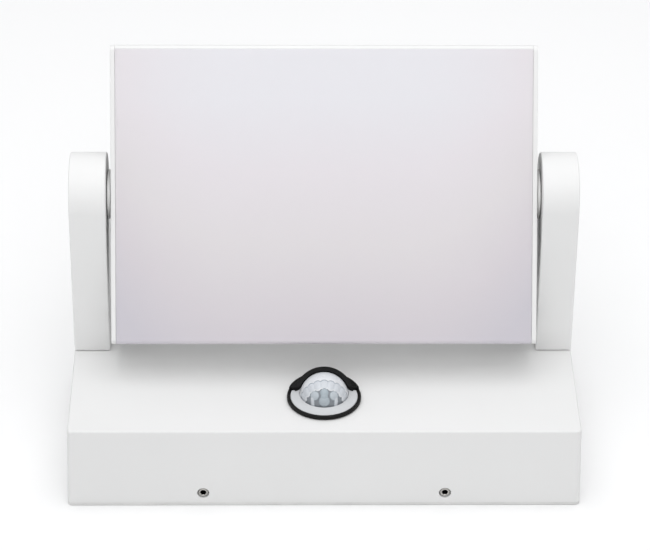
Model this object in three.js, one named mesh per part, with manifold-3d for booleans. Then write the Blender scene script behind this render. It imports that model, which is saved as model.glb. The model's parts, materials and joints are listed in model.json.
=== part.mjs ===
// Motion-sensor floodlight for a wall. Millimetres, +Z out of the wall, +Y up the wall, origin in
// the middle of the mounting face. A lamp head tilts between two arms that stand on a base box.
import * as THREE from "three";
import { mergeVertices } from "three/addons/utils/BufferGeometryUtils.js";
import Module from "manifold-3d";

const wasm = await Module();
wasm.setup();

// ---------------------------------------------------------------- driving dimensions
const GAP = 0.3; // clearance between pieces that touch
const BASE = { width: 240, depth: 106, height: 42, flare: 1, wall: 2.5, corner: 2, edge: 0.9 };
const GASKET = { thick: 1.2, width: 2.6, inset: 0.5 };
const ARM = { thick: 17.3, radius: 20, rise: 77, wall: 2.8, outerWall: 2.2, foot: 9, edge: 0.6 };
const ARM_SCREW = { spread: 13, hole: 2.8, deep: 7.5 };
const LEAD_HOLE = 2.4; // radius of the hole the lead goes up through
const COVER = { thick: 2.6, inset: 1.2 };
const HEAD = { width: 201, height: 141, thick: 25, tilt: 28.5, corner: 2.5, cap: 2.2 };
const SENSOR = { fromFront: 26.5, dome: 11.7, domeWall: 0.8, centreRise: 1.2, flangeTop: 2 };
const BEZEL = { outer: 17.5, inner: 16.15, sleeve: 13.1, bore: 12.1, height: 2.2 };
const HOOD = { outer: 14.3, inner: 12.4, lean: 36, setback: 0.5, shoulder: 3.6, shoulderFront: 4.4 };
const SET_SCREW = { x: 57, z: 7, radius: 2.5, hole: 2.85, length: 9, socket: 2.5 };
const AXLE = { radius: 6, bore: 3.4, flange: 8, flangeThick: 2.6 };
const LEAD = { radius: 1.5, bend: 5.2 };
const BOARD = { width: 64, depth: 34, thick: 1.6, z: 31.5, holeX: 27, holeY: 12, pots: 3.6 };
const DRIVER = { x: 54, y: 19, width: 88, depth: 42, low: 14, high: 37.5, earZ: 33.5, earThick: 1.5 };
const TERMINALS = { x: -56, y: 16, width: 32, depth: 16, low: 24, high: 38, pitch: 10.5 };
const INLET = { x: -85, y: -14, radius: 9 }; // where a supply cable comes in
const EARTH = { x: -95, y: 22 };
const DIAL = { radius: 4, length: 3.4, pitch: 20, below: 10 };

// ---------------------------------------------------------------- places worked out from them
const FRONT = -BASE.depth / 2;
const BACK = BASE.depth / 2;
const FACE = BASE.height; // the sensor face
const RIM = GASKET.thick + GAP; // lower edge of the housing
const CEILING = BASE.height - BASE.wall; // inner side of the sensor face
const PIVOT = { y: BACK - ARM.radius, z: FACE + ARM.rise };
const ARM_OUT = BASE.width / 2;
const ARM_IN = ARM_OUT - ARM.thick;
const ARM_MID = (ARM_OUT + ARM_IN) / 2;
const SENSOR_Y = FRONT + SENSOR.fromFront;
const DOME_Z = FACE + SENSOR.centreRise;
const HALF = HEAD.width / 2;
const CAP_IN = HALF - HEAD.cap;
const DRIVER_EARS = [DRIVER.x - 50, DRIVER.x + 50];
const SIDES = { left: -1, right: 1 };
const BOTH = [-1, 1];

const deg = THREE.MathUtils.degToRad;
const root = new THREE.Group();
const head = new THREE.Group();
head.position.set(0, PIVOT.y, PIVOT.z);
head.rotation.x = -deg(HEAD.tilt);
root.add(head);

// ---------------------------------------------------------------- finishes
const finish = (color, roughness, metalness) => () =>
  new THREE.MeshStandardMaterial({ color, roughness, metalness });
const whitePaint = finish(0xf1f1ef, 0.55, 0.1);
const whitePlastic = finish(0xefefee, 0.5, 0);
const opal = finish(0xe4e2e7, 0.35, 0);
const blackPlastic = finish(0x141414, 0.6, 0);
const milkyLens = finish(0xdde3e8, 0.3, 0);
const greyPlastic = finish(0xd4d6d7, 0.5, 0);
const blackRubber = finish(0x1c1c1c, 0.85, 0);
const whiteRubber = finish(0xe2e2e0, 0.8, 0);
const steel = finish(0xa7abae, 0.35, 0.9);
const darkSteel = finish(0x4a4a48, 0.4, 0.8);
const zinc = finish(0xbfc3c4, 0.4, 0.8);
const brass = finish(0xb59a5b, 0.35, 0.8);
const greenBoard = finish(0x1f6b3c, 0.5, 0.1);
const whiteBoard = finish(0xf4f4f2, 0.5, 0.1);
const blueDial = finish(0x3568a8, 0.5, 0);

function add(name, geometry, material, parent = root) {
  const mesh = new THREE.Mesh(geometry, material());
  mesh.name = name;
  parent.add(mesh);
  return mesh;
}

// ---------------------------------------------------------------- joining and cutting
function toSolid(geometry) {
  const bare = geometry.clone();
  bare.deleteAttribute("normal");
  bare.deleteAttribute("uv");
  const merged = mergeVertices(bare, 1e-4);
  return new wasm.Manifold(
    new wasm.Mesh({
      numProp: 3,
      vertProperties: new Float32Array(merged.attributes.position.array),
      triVerts: new Uint32Array(merged.index.array),
    }),
  );
}

function toGeometry(solid) {
  const mesh = solid.getMesh();
  const geometry = new THREE.BufferGeometry();
  geometry.setAttribute("position", new THREE.BufferAttribute(mesh.vertProperties, mesh.numProp));
  geometry.setIndex(new THREE.BufferAttribute(mesh.triVerts, 1));
  geometry.computeVertexNormals();
  return geometry;
}

const join = (body, ...more) =>
  toGeometry(more.reduce((all, piece) => all.add(toSolid(piece)), toSolid(body)));
const cut = (body, ...tools) =>
  toGeometry(tools.reduce((rest, tool) => rest.subtract(toSolid(tool)), toSolid(body)));
const common = (body, other) => toGeometry(toSolid(body).intersect(toSolid(other)));

// ---------------------------------------------------------------- plain shapes
// A box between two corners.
function block([x0, y0, z0], [x1, y1, z1]) {
  const box = new THREE.BoxGeometry(x1 - x0, y1 - y0, z1 - z0);
  return box.translate((x0 + x1) / 2, (y0 + y1) / 2, (z0 + z1) / 2);
}

// A round bar from one height to another, standing at x, y.
function post(radius, x, y, z0, z1, sides = 16) {
  const bar = new THREE.CylinderGeometry(radius, radius, z1 - z0, sides);
  return bar.rotateX(Math.PI / 2).translate(x, y, (z0 + z1) / 2);
}

// A round bar along X.
function barX(radius, x0, x1, y, z, sides = 16) {
  const bar = new THREE.CylinderGeometry(radius, radius, Math.abs(x1 - x0), sides);
  return bar.rotateZ(Math.PI / 2).translate((x0 + x1) / 2, y, z);
}

// A round bar along Y.
function barY(radius, y0, y1, x, z, sides = 16) {
  const bar = new THREE.CylinderGeometry(radius, radius, y1 - y0, sides);
  return bar.translate(x, (y0 + y1) / 2, z);
}

function roundedRectangle(width, depth, radius) {
  const [x, y] = [width / 2, depth / 2];
  const shape = new THREE.Shape();
  shape.moveTo(x, radius - y);
  shape.absarc(x - radius, y - radius, radius, 0, Math.PI / 2);
  shape.absarc(radius - x, y - radius, radius, Math.PI / 2, Math.PI);
  shape.absarc(radius - x, radius - y, radius, Math.PI, Math.PI * 1.5);
  shape.absarc(x - radius, radius - y, radius, Math.PI * 1.5, Math.PI * 2);
  return shape;
}

// A slab of a flat outline from z0 to z1, with its edges rounded over.
function slab(shape, z0, z1, edge = 0, curve = 2) {
  const options = {
    depth: z1 - z0 - 2 * edge,
    bevelEnabled: edge > 0,
    bevelThickness: edge,
    bevelSize: edge,
    bevelOffset: -edge,
    bevelSegments: 1,
    curveSegments: curve,
  };
  return new THREE.ExtrudeGeometry(shape, options).translate(0, 0, z0 + edge);
}

// A ring or cup turned about an upright axis: [radius, height] points round its closed section.
function turned(section, x, y, sides = 32) {
  const points = [...section, section[0]].map(([r, z]) => new THREE.Vector2(r, z));
  return new THREE.LatheGeometry(points, sides).rotateX(Math.PI / 2).translate(x, y, 0);
}

// The same about the X axis: [radius, x] points, for the pivot pieces, mirrored for each side.
function turnedX(section, side, sides = 24) {
  const points = [...section, section[0]].map(([r, x]) => new THREE.Vector2(r, x));
  return new THREE.LatheGeometry(points, sides).rotateZ(-side * Math.PI / 2);
}

const square = (inner, outer, low, high) => [
  [inner, low],
  [outer, low],
  [outer, high],
  [inner, high],
];

// The box flares towards the wall, as a casting drawn off its mould does.
function flared(geometry, z0, z1) {
  const position = geometry.attributes.position;
  for (let i = 0; i < position.count; i++) {
    const spread = (BASE.flare * (z1 - position.getZ(i))) / (z1 - z0);
    position.setX(i, position.getX(i) + Math.sign(position.getX(i)) * spread);
    position.setY(i, position.getY(i) + Math.sign(position.getY(i)) * spread);
  }
  return geometry;
}

// A screw along +Z with a pan head below: head from z0, shank up to z1.
function panScrew(x, y, z0, z1, shank, headRadius, headHeight) {
  const section = [
    [0, z0 + headHeight * 0.5],
    [shank * 0.55, z0 + headHeight * 0.5],
    [shank * 0.55, z0],
    [headRadius * 0.8, z0],
    [headRadius, z0 + headHeight * 0.35],
    [headRadius, z0 + headHeight],
    [shank, z0 + headHeight],
    [shank, z1],
    [0, z1],
  ].map(([r, z]) => new THREE.Vector2(r, z));
  return new THREE.LatheGeometry(section, 10).rotateX(Math.PI / 2).translate(x, y, 0);
}

// ---------------------------------------------------------------- base box
const HOOK_Z = 9.6; // height of the rib that hooks behind the bracket's upper tabs

// Places of the sensor board's four screws, as (x, y).
const boardCorners = () =>
  BOTH.flatMap((i) => BOTH.map((j) => [i * BOARD.holeX, SENSOR_Y + j * BOARD.holeY]));

const armScrewRows = () => BOTH.map((i) => PIVOT.y + i * ARM_SCREW.spread);

function baseHousing() {
  const outline = roundedRectangle(BASE.width, BASE.depth, BASE.corner);
  const shell = flared(slab(outline, RIM, FACE, BASE.edge), RIM, FACE);
  const inside = roundedRectangle(BASE.width - 2 * BASE.wall, BASE.depth - 2 * BASE.wall, 1);
  const cavity = flared(slab(inside, RIM - 5, CEILING), RIM, FACE);
  const wallFace = FRONT + BASE.wall - 1.5;
  const clampBosses = BOTH.map((side) =>
    barY(5, wallFace, wallFace + 7, side * SET_SCREW.x, SET_SCREW.z + 0.6),
  );
  const boardTop = BOARD.z + BOARD.thick + GAP;
  const boardPosts = boardCorners().map(([x, y]) => post(2.6, x, y, boardTop, CEILING + 1));
  const hookRib = block([-70, BACK - 6, HOOK_Z], [70, BACK - 1.5, HOOK_Z + 2]);
  const earTop = DRIVER.earZ + DRIVER.earThick + GAP;
  const driverPosts = DRIVER_EARS.map((x) => post(3, x, DRIVER.y, earTop, CEILING + 1));
  const body = join(cut(shell, cavity), hookRib, ...clampBosses, ...boardPosts, ...driverPosts);
  const holes = [post(BEZEL.sleeve + GAP, 0, SENSOR_Y, CEILING - 1, FACE + 1, 32)];
  for (const side of BOTH) {
    holes.push(barY(SET_SCREW.hole, FRONT - 3, FRONT + 12, side * SET_SCREW.x, SET_SCREW.z));
    for (const y of armScrewRows()) {
      holes.push(post(ARM_SCREW.hole, side * ARM_MID, y, CEILING - 1, FACE + 1));
    }
  }
  holes.push(post(LEAD_HOLE, -ARM_MID, PIVOT.y, CEILING - 1, FACE + 1));
  return cut(body, ...holes);
}

function backGasket() {
  const spread = 2 * (BASE.flare - GASKET.inset);
  const [width, depth] = [BASE.width + spread, BASE.depth + spread];
  const ring = slab(roundedRectangle(width, depth, BASE.corner), 0, GASKET.thick);
  const inner = roundedRectangle(width - 2 * GASKET.width, depth - 2 * GASKET.width, 1);
  return cut(ring, slab(inner, -1, GASKET.thick + 1));
}

const BRACKET = { front: -44, back: 48, width: 228, thick: 1.5, slot: 60 };

function wallBracket() {
  const depth = BRACKET.back - BRACKET.front;
  const middle = (BRACKET.back + BRACKET.front) / 2;
  const plate = slab(roundedRectangle(BRACKET.width, depth, 3), 0, BRACKET.thick);
  plate.translate(0, middle, 0);
  const { front, back, thick } = BRACKET;
  const tabs = BOTH.flatMap((side) => {
    const [x0, x1] = [side * SET_SCREW.x - 12, side * SET_SCREW.x + 12];
    return [
      block([x0, front, 0.5], [x1, front + thick, 12]),
      block([x0, back - thick, 0.5], [x1, back, 7]),
      block([x0, back - thick, 6], [x1, back + 1.6, 6 + thick]),
    ];
  });
  const slots = BOTH.map((side) => {
    const slot = slab(roundedRectangle(20, 6, 2.99), -1, thick + 1);
    return slot.translate(side * BRACKET.slot, 0, 0);
  });
  const inlet = post(INLET.radius, INLET.x, INLET.y, -1, thick + 1, 32);
  const earthHole = post(2.3, EARTH.x, EARTH.y, -1, thick + 1);
  return cut(join(plate, ...tabs), ...slots, inlet, earthHole);
}

// A grub screw with a hexagon socket in its outer end and a cup point.
function setScrew(side) {
  const [outer, x, z] = [FRONT - BASE.flare + 0.6, side * SET_SCREW.x, SET_SCREW.z];
  const body = barY(SET_SCREW.radius, outer, outer + SET_SCREW.length, x, z, 20);
  const acrossCorners = SET_SCREW.socket / Math.cos(Math.PI / 6) / 2;
  return cut(body, barY(acrossCorners, outer - 1, outer + 3, x, z, 6));
}

// A membrane grommet clipped in the bracket's cable inlet, pierced when it is wired.
function cableGrommet() {
  const section = [
    [0, 6],
    [3, 6],
    [7.5, 3],
    [11, 3],
    [11, 1.8],
    [8.7, 1.8],
    [8.7, 0.4],
    [7, 0.4],
    [7, 2],
    [2.5, 4.6],
    [0, 4.6],
  ].map(([r, z]) => new THREE.Vector2(r, z));
  const turnedPiece = new THREE.LatheGeometry(section.reverse(), 20).rotateX(Math.PI / 2);
  return turnedPiece.translate(INLET.x, INLET.y, 0);
}

// ---------------------------------------------------------------- electrics in the box
function ledDriver() {
  const { x, y, width, depth, low, high, earZ, earThick } = DRIVER;
  const can = slab(roundedRectangle(width, depth, 3), low, high, 1).translate(x, y, 0);
  const ears = block([x - 54, y - 6, earZ], [x + 54, y + 6, earZ + earThick]);
  const holes = DRIVER_EARS.map((ear) => post(1.9, ear, y, earZ - 3, earZ + 5, 12));
  return cut(join(can, ears), ...holes);
}

function terminalBlock() {
  const { x, y, width, depth, low, high, pitch } = TERMINALS;
  const [w, d] = [width / 2, depth / 2];
  const body = block([x - w, y - d, low], [x + w, y + d, high]);
  const wells = [-1, 0, 1].flatMap((i) => [
    post(2.4, x + i * pitch, y, low - 4, low + 3, 12),
    barY(2.2, y - d - 2, y - 3, x + i * pitch, low + 8, 12),
  ]);
  return cut(body, ...wells);
}

function sensorBoard() {
  const [x, y, z] = [BOARD.width / 2, BOARD.depth / 2, BOARD.z];
  const plate = block([-x, SENSOR_Y - y, z], [x, SENSOR_Y + y, z + BOARD.thick]);
  const potsY = SENSOR_Y - DIAL.below;
  const pots = [-1, 0, 1].map((i) => {
    const cx = i * DIAL.pitch;
    return block([cx - 4.8, potsY - 4.8, z - BOARD.pots], [cx + 4.8, potsY + 4.8, z + 0.5]);
  });
  const relay = block([-14, SENSOR_Y + 2, z - 12], [6, SENSOR_Y + 14, z + 0.5]);
  const bores = [-1, 0, 1].map((i) => post(1.8, i * DIAL.pitch, potsY, z - 5, z - 1.6));
  const holes = boardCorners().map(([hx, hy]) => post(1.8, hx, hy, z - 1, z + 3, 12));
  return cut(join(plate, ...pots, relay), ...bores, ...holes);
}

// A setting dial: a short knob with a screwdriver slot and a spindle into its potentiometer.
function dial(index) {
  const [x, y] = [index * DIAL.pitch, SENSOR_Y - DIAL.below];
  const top = BOARD.z - BOARD.pots - GAP;
  const knob = post(DIAL.radius, x, y, top - DIAL.length, top, 24);
  const spindle = post(1.4, x, y, top - 1, top + 2, 16);
  const slot = block([x - 5, y - 0.5, top - DIAL.length - 1], [x + 1.5, y + 0.5, top - 2.2]);
  return cut(join(knob, spindle), slot);
}

// ---------------------------------------------------------------- motion sensor
const SLEEVE_END = 36; // how far down the bezel's sleeve reaches
const SKIRT_END = 37.5;
const LEDGE = 0.7; // thickness of the bezel's floor, under the flange

const domeBall = (radius) =>
  new THREE.SphereGeometry(radius, 24, 14).translate(0, SENSOR_Y, DOME_Z);

// The black ring round the dome, with a shoulder and a leaning hood over its rear half.
function sensorBezel() {
  const [low, high] = [FACE + GAP, FACE + BEZEL.height];
  const ring = turned(
    [
      [BEZEL.bore, SLEEVE_END],
      [BEZEL.sleeve, SLEEVE_END],
      [BEZEL.sleeve, low],
      [BEZEL.outer, low],
      [BEZEL.outer, high - 0.4],
      [BEZEL.outer - 0.4, high],
      [BEZEL.inner, high],
      [BEZEL.inner, low + LEDGE],
      [BEZEL.bore, low + LEDGE],
    ],
    0,
    SENSOR_Y,
  );
  const reach = 40;
  const behind = block([-reach, 0, -reach], [reach, reach, reach]);
  behind.translate(0, HOOD.setback, 0).rotateX(-deg(HOOD.lean)).translate(0, SENSOR_Y, DOME_Z);
  const above = block([-reach, SENSOR_Y - reach, low], [reach, SENSOR_Y + reach, FACE + reach]);
  const hood = common(common(domeBall(HOOD.outer), behind), above);
  const shoulderTop = FACE + HOOD.shoulder;
  const disc = post(BEZEL.outer - 0.3, 0, SENSOR_Y, low, shoulderTop, 32);
  const rear = block(
    [-reach, SENSOR_Y + HOOD.shoulderFront, low - 1],
    [reach, SENSOR_Y + reach, shoulderTop + 1],
  );
  const shoulder = common(disc, rear);
  const bore = post(BEZEL.bore, 0, SENSOR_Y, 30, FACE + SENSOR.centreRise, 32);
  return cut(join(ring, shoulder, hood), domeBall(HOOD.inner), bore);
}

function sensorFlange() {
  const [low, high] = [FACE + GAP + LEDGE + GAP, FACE + SENSOR.flangeTop];
  const [inner, outer] = [SENSOR.dome + 0.9, BEZEL.inner - GAP];
  const ring = turned(
    [
      [inner, low],
      [outer, low],
      [outer, high - 0.1],
      [outer - 0.4, high],
      [inner, high - 0.3],
    ],
    0,
    SENSOR_Y,
  );
  const behindFrom = (y) => block([-30, SENSOR_Y + y, FACE - 2], [30, SENSOR_Y + 30, FACE + 10]);
  const hoodRoom = common(domeBall(HOOD.outer + GAP), behindFrom(0.2));
  return cut(ring, behindFrom(HOOD.shoulderFront - GAP), hoodRoom);
}

// The dome is a thin shell whose skirt runs down inside the bezel's sleeve.
function sensorLens() {
  const inner = SENSOR.dome - SENSOR.domeWall;
  const steps = 6;
  const section = [
    [inner, SKIRT_END],
    [SENSOR.dome, SKIRT_END],
  ];
  for (let i = 0; i <= steps; i++) {
    const a = (Math.PI / 2) * (i / steps);
    section.push([SENSOR.dome * Math.cos(a), DOME_Z + SENSOR.dome * Math.sin(a)]);
  }
  for (let i = steps; i >= 0; i--) {
    const a = (Math.PI / 2) * (i / steps);
    section.push([inner * Math.cos(a), DOME_Z + inner * Math.sin(a)]);
  }
  for (const point of section) point[0] = Math.max(point[0], 0);
  return turned(section, 0, SENSOR_Y, 28);
}

function pirElement() {
  const bottom = BOARD.z + BOARD.thick + GAP;
  const section = [
    [0, bottom],
    [4.8, bottom],
    [4.8, bottom + 3.4],
    [4.1, bottom + 3.4],
    [4.1, bottom + 7.8],
    [3.9, bottom + 8],
    [0, bottom + 8],
  ].map(([r, z]) => new THREE.Vector2(r, z));
  return new THREE.LatheGeometry(section, 20).rotateX(Math.PI / 2).translate(0, SENSOR_Y, 0);
}

// ---------------------------------------------------------------- arms
// The arm seen from the side: straight up from the foot, with a half-round top about the pivot.
// Drawn as (y, z) and moved in from its edge by inset.
function armOutline(inset, foot) {
  const radius = ARM.radius - inset;
  const shape = new THREE.Shape();
  shape.moveTo(PIVOT.y - radius, foot);
  shape.lineTo(PIVOT.y + radius, foot);
  shape.absarc(PIVOT.y, PIVOT.z, radius, 0, Math.PI);
  return shape;
}

// An outline drawn in (y, z) becomes a slab across X, from near to far of the middle plane.
function acrossX(shape, side, near, far, edge = 0, curve = 12) {
  const piece = slab(shape, 0, far - near, edge, curve);
  const turn = new THREE.Matrix4().set(0, 0, 1, 0, 1, 0, 0, 0, 0, 1, 0, 0, 0, 0, 0, 1);
  piece.applyMatrix4(turn);
  return piece.translate(side > 0 ? near : -far, 0, 0);
}

const COVER_SCREWS = [
  [PIVOT.y - 10, FACE + 20],
  [PIVOT.y + 10, FACE + 50],
];

function arm(side) {
  const foot = FACE + GAP;
  const body = acrossX(armOutline(0, foot), side, ARM_IN, ARM_OUT, ARM.edge);
  const [pocketIn, pocketOut] = [ARM_IN - 1, ARM_OUT - ARM.outerWall];
  const pocket = acrossX(armOutline(ARM.wall, foot + ARM.foot), side, pocketIn, pocketOut);
  const rebateEnd = ARM_IN + COVER.thick + GAP;
  const rebate = acrossX(armOutline(COVER.inset, foot + 4), side, ARM_IN - 1, rebateEnd);
  const pillars = COVER_SCREWS.map(([y, z]) =>
    barX(3.4, side * rebateEnd, side * (ARM_OUT - 1), y, z, 12),
  );
  const holes = COVER_SCREWS.map(([y, z]) =>
    barX(1.8, side * (rebateEnd - 1), side * (ARM_OUT - 5), y, z, 12),
  );
  for (const y of armScrewRows()) {
    holes.push(post(ARM_SCREW.hole, side * ARM_MID, y, foot - 1, foot + ARM_SCREW.deep));
  }
  if (side < 0) holes.push(post(LEAD_HOLE, -ARM_MID, PIVOT.y, foot - 1, foot + ARM.foot + 1));
  return cut(join(cut(body, pocket, rebate), ...pillars), ...holes);
}

function armCover(side) {
  const inset = COVER.inset + GAP;
  const outline = armOutline(inset, FACE + 4 + 2 * GAP);
  const plate = acrossX(outline, side, ARM_IN, ARM_IN + COVER.thick);
  const bore = barX(AXLE.radius + 2.2, side * 90, side * 130, PIVOT.y, PIVOT.z, 24);
  const screws = COVER_SCREWS.map(([y, z]) => barX(1.9, side * 90, side * 130, y, z, 12));
  const sinks = COVER_SCREWS.map(([y, z]) => {
    const start = ARM_IN - 0.5;
    return barX(3.3, side * start, side * (ARM_IN + 1.6), y, z, 14);
  });
  return cut(plate, bore, ...screws, ...sinks);
}

function coverScrew(side, [y, z]) {
  const section = [
    [0, ARM_IN + 0.9],
    [0.9, ARM_IN + 0.9],
    [0.9, ARM_IN + 0.2],
    [3, ARM_IN + 0.2],
    [3, ARM_IN + 1.3],
    [1.5, ARM_IN + 1.3],
    [1.5, ARM_IN + 10],
    [0, ARM_IN + 10],
  ].map(([r, x]) => new THREE.Vector2(r, x));
  const screw = new THREE.LatheGeometry(section, 12).rotateZ(-side * Math.PI / 2);
  return screw.translate(0, y, z);
}

// ---------------------------------------------------------------- pivot
const BUSH = { collar: 7.9, flange: 10, bore: AXLE.radius + GAP, flangeThick: 0.8 };
const BUSH_END = ARM_IN + COVER.thick + GAP + BUSH.flangeThick;
const SPRING = { start: BUSH_END + GAP, thick: 0.5, dish: 0.3, outer: 10 };
const NUT_START = SPRING.start + SPRING.thick + SPRING.dish + GAP;
const NUT = { thick: 2.5, acrossFlats: 17 };
const AXLE_END = NUT_START + NUT.thick + GAP;

const pivotBush = (side) =>
  turnedX(
    [
      [BUSH.bore, ARM_IN],
      [BUSH.collar, ARM_IN],
      [BUSH.collar, BUSH_END - BUSH.flangeThick],
      [BUSH.flange, BUSH_END - BUSH.flangeThick],
      [BUSH.flange, BUSH_END],
      [BUSH.bore, BUSH_END],
    ],
    side,
  ).translate(0, PIVOT.y, PIVOT.z);

const frictionWasher = (side) =>
  turnedX(square(9, 11.7, HALF + GAP, ARM_IN - GAP), side, 32).translate(0, PIVOT.y, PIVOT.z);

function axle(side) {
  const inner = CAP_IN - GAP - AXLE.flangeThick;
  return turnedX(
    [
      [AXLE.bore, inner],
      [AXLE.flange, inner],
      [AXLE.flange, CAP_IN - GAP],
      [AXLE.radius, CAP_IN - GAP],
      [AXLE.radius, AXLE_END - 0.5],
      [AXLE.radius - 0.5, AXLE_END],
      [AXLE.bore, AXLE_END],
    ],
    side,
  );
}

const springWasher = (side) =>
  turnedX(
    [
      [BUSH.bore, SPRING.start + SPRING.dish],
      [SPRING.outer, SPRING.start],
      [SPRING.outer, SPRING.start + SPRING.thick],
      [BUSH.bore, SPRING.start + SPRING.dish + SPRING.thick],
    ],
    side,
  );

function lockNut(side) {
  const corners = NUT.acrossFlats / Math.cos(Math.PI / 6) / 2;
  const [x0, x1] = [side * NUT_START, side * (NUT_START + NUT.thick)];
  const middle = (x0 + x1) / 2;
  const bore = barX(BUSH.bore, middle - 5, middle + 5, 0, 0, 24);
  return cut(barX(corners, x0, x1, 0, 0, 6), bore);
}

function oRing(side) {
  const ring = new THREE.TorusGeometry(7.6, 0.8, 8, 20).rotateY(Math.PI / 2);
  return ring.translate(side * (HALF + ARM_IN) / 2, 0, 0);
}

// ---------------------------------------------------------------- leads
// The lead runs from the driver through the left arm, turns into the hollow axle, and goes on in the
// head to the light board. It is cut on the pivot axis, where the two halves twist.
const LEAD_SPLIT = -(ARM_IN + 4);

function tubeAlong(points, radius, steps) {
  const circle = new THREE.Shape().absarc(0, 0, radius, 0, Math.PI * 2);
  const path = new THREE.CatmullRomCurve3(points.map((p) => new THREE.Vector3(...p)));
  const options = { steps, extrudePath: path, bevelEnabled: false, curveSegments: 4 };
  return new THREE.ExtrudeGeometry(circle, options);
}

function armLead() {
  const [far, bend] = [-(AXLE_END + LEAD.bend), LEAD.bend];
  const turn = [0, 30, 60, 90].map((angle) => {
    const a = deg(angle);
    const x = far + bend * (1 - Math.cos(a));
    return [x, PIVOT.y, PIVOT.z - bend + bend * Math.sin(a)];
  });
  const points = [
    [9, 20, 25],
    [0, 22, 22],
    [-30, 30, 20],
    [-80, 36, 20],
    [-103, 35, 24],
    [-110.5, 33.2, 34],
    [-ARM_MID, 33, 42],
    [-ARM_MID, 33, 50],
    [-112.2, 33, 60],
    [-114.5, 33, 76],
    [far, 33, 92],
    [far, 33, 104],
    ...turn,
    [LEAD_SPLIT - 3, PIVOT.y, PIVOT.z],
    [LEAD_SPLIT, PIVOT.y, PIVOT.z],
  ];
  return tubeAlong(points, LEAD.radius, 44);
}

function headLead() {
  const points = [
    [LEAD_SPLIT + GAP, 0, 0],
    [-100, 0, 0],
    [-94, 0, 0],
    [-90, -0.5, -1],
    [-86, -0.3, -4],
    [-83, 1.4, -7],
  ];
  return tubeAlong(points, LEAD.radius, 16);
}

// ---------------------------------------------------------------- lamp head, in its own frame
// Local axes: -Y out of the light-giving face, +Z towards its upper edge, pivot at the origin.
const LOWER = -HEAD.height / 2;
const UPPER = HEAD.height / 2;
const FACE_Y = -HEAD.thick / 2;
const REAR_Y = HEAD.thick / 2;
const FINS = { count: 13, depth: 3, thick: 2.2 };
const PORT = { y: 6.4, z: 60, radius: 3.2 };
const PLATE = { y: 6.5, thick: 3 };
const TOP_LIP = 1.6;
const DIFFUSER_BACK = -4.1;

// The extrusion: a tray with a cooled back, open to the front.
function headHousing() {
  const length = CAP_IN - GAP;
  const outer = roundedRectangle(HEAD.thick - GAP, HEAD.height, HEAD.corner);
  const tray = acrossX(outer, 1, -length, length, 0, 3).translate(0, GAP / 2, 0);
  const [low, high] = [LOWER + TOP_LIP, UPPER - TOP_LIP];
  const hollow = block([-length - 1, FACE_Y - 5, low], [length + 1, PLATE.y, high]);
  const lowerLipCut = block([-length - 1, FACE_Y - 5, LOWER - 1], [length + 1, FACE_Y + 4, low + 1]);
  const cuts = [hollow, lowerLipCut];
  const pitch = (HEAD.height - 2 * HEAD.corner - FINS.thick) / (FINS.count - 1);
  for (let i = 0; i < FINS.count - 1; i++) {
    const start = LOWER + HEAD.corner + FINS.thick + i * pitch;
    const end = start + pitch - FINS.thick;
    cuts.push(block([-length - 1, REAR_Y - FINS.depth, start], [length + 1, REAR_Y + 5, end]));
  }
  const shelves = [low - 0.5, high - 4].map((z) =>
    block([-length, -2.6, z], [length, -0.6, z + 4.5]),
  );
  const ports = BOTH.map((way) => barX(PORT.radius, -length, length, PORT.y, way * PORT.z, 12));
  const body = join(cut(tray, ...cuts), ...shelves, ...ports);
  const holes = [];
  for (const side of BOTH) {
    holes.push(barX(AXLE.flange + 0.6, side * (length - 4), side * (length + 2), 0, 0, 32));
    for (const way of BOTH) {
      holes.push(barX(1.8, side * (length - 13), side * (length + 2), PORT.y, way * PORT.z, 12));
    }
  }
  return cut(body, ...holes);
}

function endCap(side) {
  const outline = roundedRectangle(HEAD.thick, HEAD.height, HEAD.corner);
  const plate = acrossX(outline, side, CAP_IN, HALF, 0.4, 3);
  const bore = barX(AXLE.radius + GAP, side * 90, side * 110, 0, 0, 24);
  const screwHoles = BOTH.flatMap((way) => [
    barX(1.8, side * 90, side * 110, PORT.y, way * PORT.z, 12),
    barX(3.2, side * (HALF - 1.3), side * 110, PORT.y, way * PORT.z, 14),
  ]);
  return cut(plate, bore, ...screwHoles);
}

function endCapScrew(side, way) {
  const [top, seat] = [HALF - 0.2, HALF - 1];
  const section = [
    [0, seat - 10],
    [1.5, seat - 10],
    [1.5, seat],
    [2.9, seat],
    [2.9, top],
    [0.9, top],
    [0.9, top - 0.6],
    [0, top - 0.6],
  ].map(([r, x]) => new THREE.Vector2(r, x));
  const screw = new THREE.LatheGeometry(section, 12).rotateZ(-side * Math.PI / 2);
  return screw.translate(0, PORT.y, way * PORT.z);
}

// The opal cover: a shallow tray whose lower edge rolls under and whose upper edge stops at the lip.
function diffuser() {
  const [wall, roll, fillet, nose] = [2, 3, 0.8, 3.4];
  const [low, high] = [LOWER, UPPER - TOP_LIP - GAP];
  const [front, back] = [FACE_Y, DIFFUSER_BACK];
  const shelf = low + TOP_LIP + GAP;
  const shape = new THREE.Shape();
  shape.moveTo(back, high);
  shape.lineTo(front + fillet, high);
  shape.absarc(front + fillet, high - fillet, fillet, Math.PI / 2, Math.PI);
  shape.lineTo(front, low + roll);
  shape.absarc(front + roll, low + roll, roll, Math.PI, Math.PI * 1.5);
  shape.lineTo(front + nose, low);
  shape.lineTo(front + nose, shelf);
  shape.lineTo(back, shelf);
  shape.lineTo(back, shelf + wall);
  shape.lineTo(front + wall + 1.5, shelf + wall);
  shape.lineTo(front + wall, shelf + wall + 1.5);
  shape.lineTo(front + wall, high - wall);
  shape.lineTo(back, high - wall);
  const length = CAP_IN - GAP;
  return acrossX(shape, 1, -length, length, 0, 6);
}

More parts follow.
